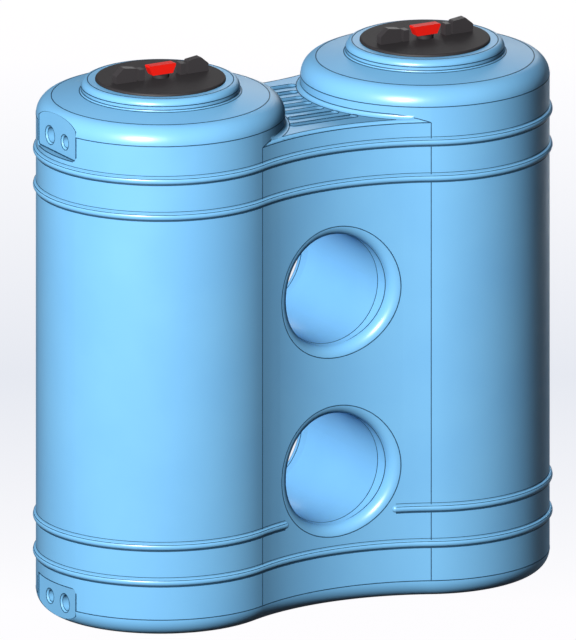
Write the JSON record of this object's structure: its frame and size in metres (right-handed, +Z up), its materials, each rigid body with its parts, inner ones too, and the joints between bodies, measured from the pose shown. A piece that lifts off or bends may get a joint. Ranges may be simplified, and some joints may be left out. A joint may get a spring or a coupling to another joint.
{
  "type": "water tank",
  "caption": "Slimline rainwater storage tank of two round lobes joined by a waist with through tunnels, hoop ribs, flat port pads and black lift-off lids.",
  "frame": {"origin": "centre of the tank's base, on the ground", "axes": "+X to the right along the two lobes (the port pads are on the -X end), -Y to the front, +Z up"},
  "size_m": [1.676, 0.768, 1.6947],
  "materials": {
    "blue_polyethylene": "satin",
    "black_lid_plastic": "satin",
    "red_knob_plastic": "gloss"
  },
  "bodies": {
    "tank": {"back_base_edge": "blue_polyethylene", "back_waist_wall": "blue_polyethylene", "base_floor": "blue_polyethylene", "bottom_rib": "blue_polyethylene", "deck": "blue_polyethylene", "front_base_edge": "blue_polyethylene", "front_waist_wall": "blue_polyethylene", "left_base_edge": "blue_polyethylene", "left_inner_wall": "blue_polyethylene", "left_neck": "blue_polyethylene", "left_short_rib": "blue_polyethylene", "left_shoulder": "blue_polyethylene", "left_wall": "blue_polyethylene", "lower_port_pad": "blue_polyethylene", "lower_tunnel_back_mouth": "blue_polyethylene", "lower_tunnel_front_mouth": "blue_polyethylene", "lower_tunnel_tube": "blue_polyethylene", "right_base_edge": "blue_polyethylene", "right_inner_wall": "blue_polyethylene", "right_neck": "blue_polyethylene", "right_short_rib": "blue_polyethylene", "right_shoulder": "blue_polyethylene", "right_wall": "blue_polyethylene", "second_rib": "blue_polyethylene", "top_rib": "blue_polyethylene", "upper_port_pad": "blue_polyethylene", "upper_tunnel_back_mouth": "blue_polyethylene", "upper_tunnel_front_mouth": "blue_polyethylene", "upper_tunnel_tube": "blue_polyethylene"},
    "left_lid": {"left_lid": "black_lid_plastic", "left_lid_knob": "red_knob_plastic", "left_lid_knob_foot": "black_lid_plastic", "left_lid_left_block": "black_lid_plastic", "left_lid_left_lug": "black_lid_plastic", "left_lid_right_block": "black_lid_plastic", "left_lid_right_lug": "black_lid_plastic"},
    "right_lid": {"right_lid": "black_lid_plastic", "right_lid_knob": "red_knob_plastic", "right_lid_knob_foot": "black_lid_plastic", "right_lid_left_block": "black_lid_plastic", "right_lid_left_lug": "black_lid_plastic", "right_lid_right_block": "black_lid_plastic", "right_lid_right_lug": "black_lid_plastic"}
  },
  "joints": [
    {"name": "left_lid_lift", "type": "slide", "parent": "tank", "child": "left_lid", "axis": [0, 0, 1], "range_m": [0, 0.3]},
    {"name": "right_lid_lift", "type": "slide", "parent": "tank", "child": "right_lid", "axis": [0, 0, 1], "range_m": [0, 0.3]}
  ]
}
